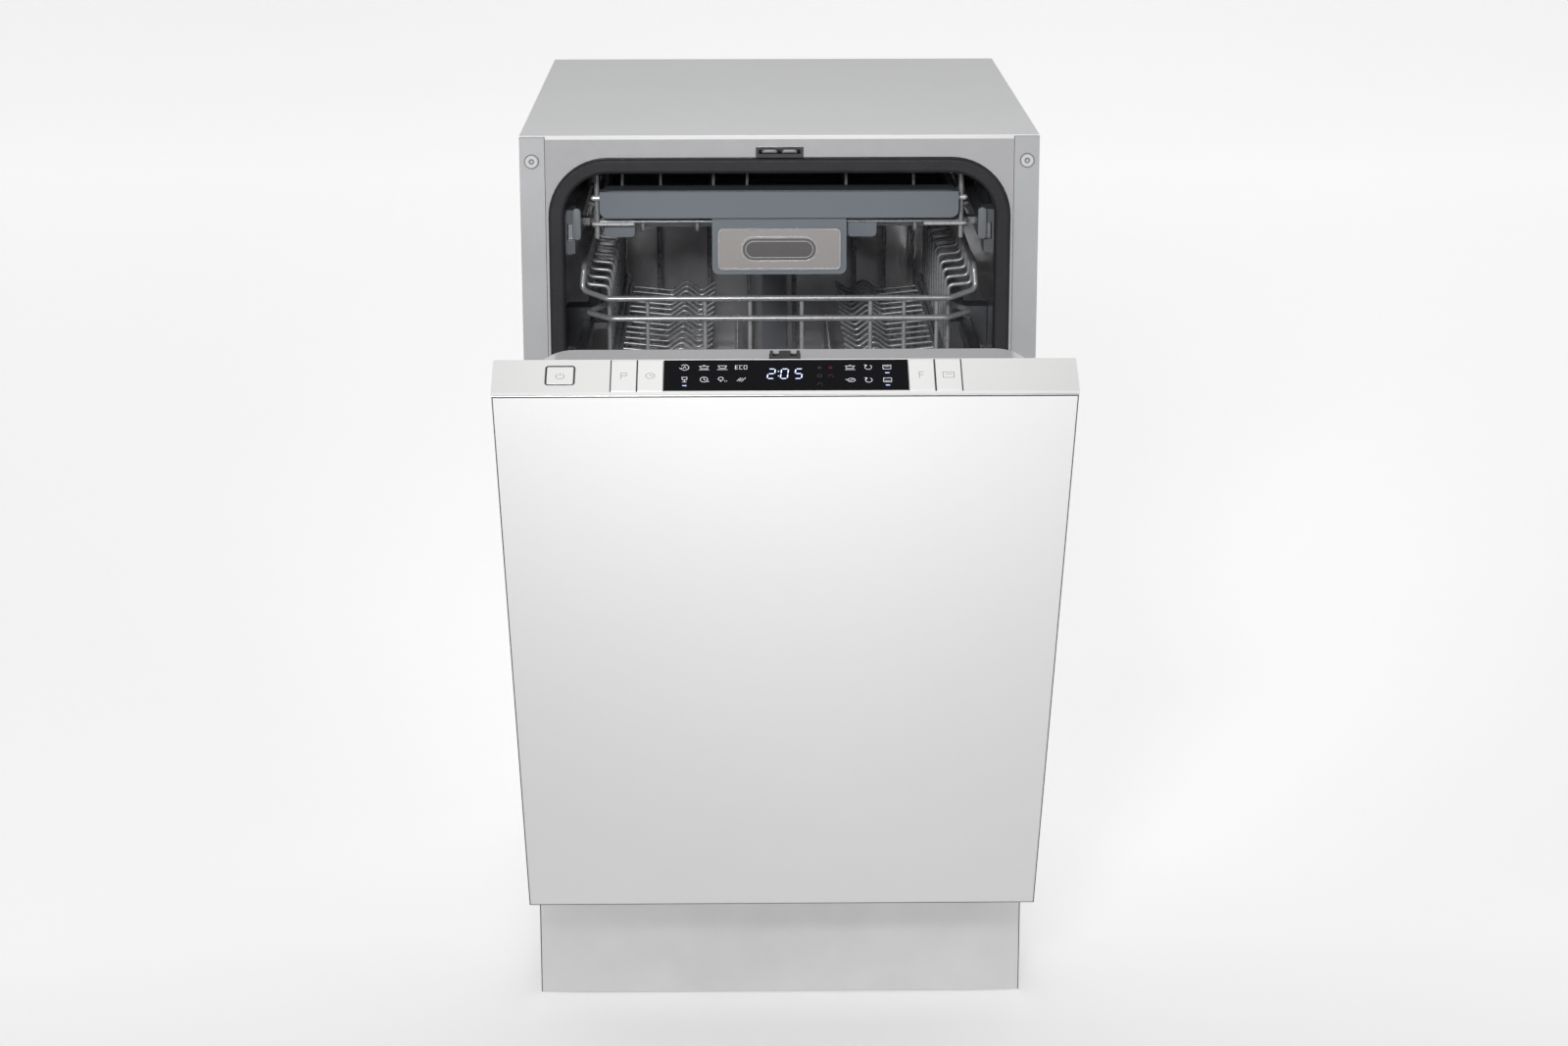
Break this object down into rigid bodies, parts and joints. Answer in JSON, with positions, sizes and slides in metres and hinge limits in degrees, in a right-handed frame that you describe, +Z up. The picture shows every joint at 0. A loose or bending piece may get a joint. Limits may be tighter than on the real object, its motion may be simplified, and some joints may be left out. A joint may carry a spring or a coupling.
{
  "type": "built-in dishwasher",
  "caption": "Narrow built-in dishwasher with an ajar drop-down door, controls on the door's top edge, a cutlery tray, two wire baskets, spray arms, filter and feet.",
  "frame": {"origin": "under the middle of the machine's bounding box with its door ajar, at floor level", "axes": "+X to the right as seen by the user, +Y from the door into the machine, +Z up"},
  "size_m": [0.448, 0.9277, 0.815],
  "materials": {
    "cabinet_sheet": "zinc-coated sheet, satin",
    "plinth_paint": "white paint, satin",
    "trim_grey": "grey coating, satin",
    "screw_cap": "white plastic rings",
    "tub_steel": "stainless steel, soft sheen",
    "strike_black": "black strike case with steel catches",
    "gasket_rubber": "black rubber, matt",
    "base_plastic": "dark grey moulded plastic",
    "foot_plastic": "black plastic",
    "pump_body": "grey pump housings",
    "softener_plastic": "off-white plastic",
    "cap_grey": "light grey plastic",
    "weight_iron": "raw casting",
    "duct_plastic": "grey plastic duct",
    "arm_plastic": "grey plastic rotors",
    "guide_plastic": "dark grey plastic",
    "slide_steel": "bright steel bars",
    "basket_wire": "plastic-coated steel wire, semi-gloss",
    "feed_tube": "black plastic tube",
    "insert_plastic": "blue-grey plastic tray",
    "handle_plastic": "blue-grey plastic bar",
    "nameplate_metal": "brushed plate with a bevelled rim",
    "hinge_steel": "zinc-plated steel",
    "door_sheet": "zinc-coated sheet",
    "front_white": "white lacquered furniture board",
    "door_plastic": "black plastic",
    "console_silver": "silver-white, satin",
    "display_black": "smoked window",
    "board_green": "circuit board",
    "key_silver": "silver-white, satin",
    "dispenser_grey": "light grey plastic"
  },
  "bodies": {
    "cabinet": {"base_tray": "base_plastic", "side_panel_left": "cabinet_sheet", "side_panel_right": "cabinet_sheet", "top_cover": "cabinet_sheet", "rear_panel": "cabinet_sheet", "plinth_panel": "plinth_paint", "side_trims": "trim_grey", "trim_screws": "screw_cap", "tub": "tub_steel", "tub_gasket": "gasket_rubber", "latch_strike": "strike_black", "sump": "base_plastic", "filter_plate": "tub_steel", "circulation_pump": "pump_body", "drain_pump": "pump_body", "water_softener": "softener_plastic", "counterweight": "weight_iron", "inlet_valve": "softener_plastic", "water_duct": "duct_plastic", "guide_blocks": "guide_plastic", "hinge_brackets": "hinge_steel", "door_springs": "hinge_steel"},
    "door": {"door_liner": "tub_steel", "door_skin": "door_sheet", "decor_panel": "front_white", "door_bottom_cover": "door_plastic", "console": "console_silver", "display_window": "display_black", "control_board": "board_green", "door_latch": "door_plastic", "dispenser_body": "dispenser_grey", "hinge_arms": "hinge_steel"},
    "upper_rack": {"upper_basket": "basket_wire", "basket_slides": "slide_steel", "upper_feed_pipe": "feed_tube"},
    "cutlery_rack": {"cutlery_tray": "basket_wire", "tray_insert": "insert_plastic", "tray_slides": "slide_steel", "tray_handle": "handle_plastic", "blank_nameplate": "nameplate_metal"},
    "lower_rack": {"lower_basket": "basket_wire"},
    "lower_spray_arm": {"lower_spray_arm": "arm_plastic"},
    "upper_spray_arm": {"upper_spray_arm": "arm_plastic"},
    "filter_cylinder": {"filter_cylinder": "cap_grey"},
    "salt_cap": {"salt_cap": "cap_grey"},
    "cup_shelf_left": {"cup_shelf_left": "basket_wire"},
    "cup_shelf_right": {"cup_shelf_right": "basket_wire"},
    "lower_wheels_front": {"lower_wheels_front": "guide_plastic"},
    "lower_wheels_rear": {"lower_wheels_rear": "guide_plastic"},
    "dispenser_lid": {"dispenser_lid": "dispenser_grey"},
    "rinse_aid_cap": {"rinse_aid_cap": "cap_grey"},
    "foot_front_left": {"foot_front_left": "foot_plastic"},
    "foot_front_right": {"foot_front_right": "foot_plastic"},
    "foot_rear_left": {"foot_rear_left": "foot_plastic"},
    "foot_rear_right": {"foot_rear_right": "foot_plastic"},
    "power_button": {"power_button": "key_silver"},
    "program_button": {"program_button": "key_silver"},
    "delay_button": {"delay_button": "key_silver"},
    "function_button": {"function_button": "key_silver"},
    "half_load_button": {"half_load_button": "key_silver"}
  },
  "joints": [
    {"name": "door_hinge", "type": "hinge", "parent": "cabinet", "child": "door", "pos_m": [0, -0.066, 0.11], "axis": [1, 0, 0], "range_deg": [-28.17, 61.83], "stiffness_Nm_per_rad": 20, "springref_deg": -45.84, "deforming": ["door_springs"]},
    {"name": "upper_rack_slide", "type": "slide", "parent": "cabinet", "child": "upper_rack", "axis": [0, -1, 0], "range_m": [0, 0.25]},
    {"name": "cutlery_rack_slide", "type": "slide", "parent": "cabinet", "child": "cutlery_rack", "axis": [0, -1, 0], "range_m": [0, 0.33]},
    {"name": "lower_rack_slide", "type": "slide", "parent": "cabinet", "child": "lower_rack", "axis": [0, -1, 0], "range_m": [0, 0.085]},
    {"name": "cup_shelf_left_hinge", "type": "hinge", "parent": "upper_rack", "child": "cup_shelf_left", "pos_m": [-0.144, 0.179, 0.602], "axis": [0, -1, 0], "range_deg": [0, 75]},
    {"name": "cup_shelf_right_hinge", "type": "hinge", "parent": "upper_rack", "child": "cup_shelf_right", "pos_m": [0.144, 0.179, 0.602], "axis": [0, 1, 0], "range_deg": [0, 75]},
    {"name": "upper_spray_spin", "type": "hinge", "parent": "upper_rack", "child": "upper_spray_arm", "pos_m": [0, 0.184, 0.468], "axis": [0, 0, 1], "continuous": true},
    {"name": "lower_spray_spin", "type": "hinge", "parent": "cabinet", "child": "lower_spray_arm", "pos_m": [0, 0.184, 0.152], "axis": [0, 0, 1], "continuous": true},
    {"name": "front_wheels_roll", "type": "hinge", "parent": "lower_rack", "child": "lower_wheels_front", "pos_m": [0, 0.034, 0.1563], "axis": [1, 0, 0], "continuous": true},
    {"name": "rear_wheels_roll", "type": "hinge", "parent": "lower_rack", "child": "lower_wheels_rear", "pos_m": [0, 0.344, 0.1563], "axis": [1, 0, 0], "continuous": true},
    {"name": "filter_turn", "type": "hinge", "parent": "cabinet", "child": "filter_cylinder", "pos_m": [0, 0.119, 0.1], "axis": [0, 0, 1], "range_deg": [0, 90]},
    {"name": "salt_cap_turn", "type": "hinge", "parent": "cabinet", "child": "salt_cap", "pos_m": [-0.125, 0.314, 0.138], "axis": [0, 0, 1], "range_deg": [0, 90]},
    {"name": "dispenser_lid_hinge", "type": "hinge", "parent": "door", "child": "dispenser_lid", "pos_m": [-0.044, -0.23593, 0.37882], "axis": [-1, 0, 0], "range_deg": [0, 100]},
    {"name": "rinse_aid_cap_turn", "type": "hinge", "parent": "door", "child": "rinse_aid_cap", "pos_m": [0.025, -0.26271, 0.42437], "axis": [0, 0.8816, 0.4721], "range_deg": [0, 90]},
    {"name": "foot_front_left_turn", "type": "hinge", "parent": "cabinet", "child": "foot_front_left", "pos_m": [-0.185, 0.004, 0.03], "axis": [0, 0, 1], "continuous": true},
    {"name": "foot_front_right_turn", "type": "hinge", "parent": "cabinet", "child": "foot_front_right", "pos_m": [0.185, 0.004, 0.03], "axis": [0, 0, 1], "continuous": true},
    {"name": "foot_rear_left_turn", "type": "hinge", "parent": "cabinet", "child": "foot_rear_left", "pos_m": [-0.185, 0.429, 0.03], "axis": [0, 0, 1], "continuous": true},
    {"name": "foot_rear_right_turn", "type": "hinge", "parent": "cabinet", "child": "foot_rear_right", "pos_m": [0.185, 0.429, 0.03], "axis": [0, 0, 1], "continuous": true},
    {"name": "power_button_press", "type": "slide", "parent": "door", "child": "power_button", "axis": [0, 0.4721, -0.8816], "range_m": [0, 0.0012], "stiffness_N_per_m": 300, "springref_m": -0.0006},
    {"name": "program_button_press", "type": "slide", "parent": "door", "child": "program_button", "axis": [0, 0.4721, -0.8816], "range_m": [0, 0.0012], "stiffness_N_per_m": 300, "springref_m": -0.0006},
    {"name": "delay_button_press", "type": "slide", "parent": "door", "child": "delay_button", "axis": [0, 0.4721, -0.8816], "range_m": [0, 0.0012], "stiffness_N_per_m": 300, "springref_m": -0.0006},
    {"name": "function_button_press", "type": "slide", "parent": "door", "child": "function_button", "axis": [0, 0.4721, -0.8816], "range_m": [0, 0.0012], "stiffness_N_per_m": 300, "springref_m": -0.0006},
    {"name": "half_load_button_press", "type": "slide", "parent": "door", "child": "half_load_button", "axis": [0, 0.4721, -0.8816], "range_m": [0, 0.0012], "stiffness_N_per_m": 300, "springref_m": -0.0006}
  ],
  "couplings": [
    {"joint": "front_wheels_roll", "follows": "lower_rack_slide", "rad_per_m": 62.5},
    {"joint": "rear_wheels_roll", "follows": "lower_rack_slide", "rad_per_m": 62.5}
  ]
}
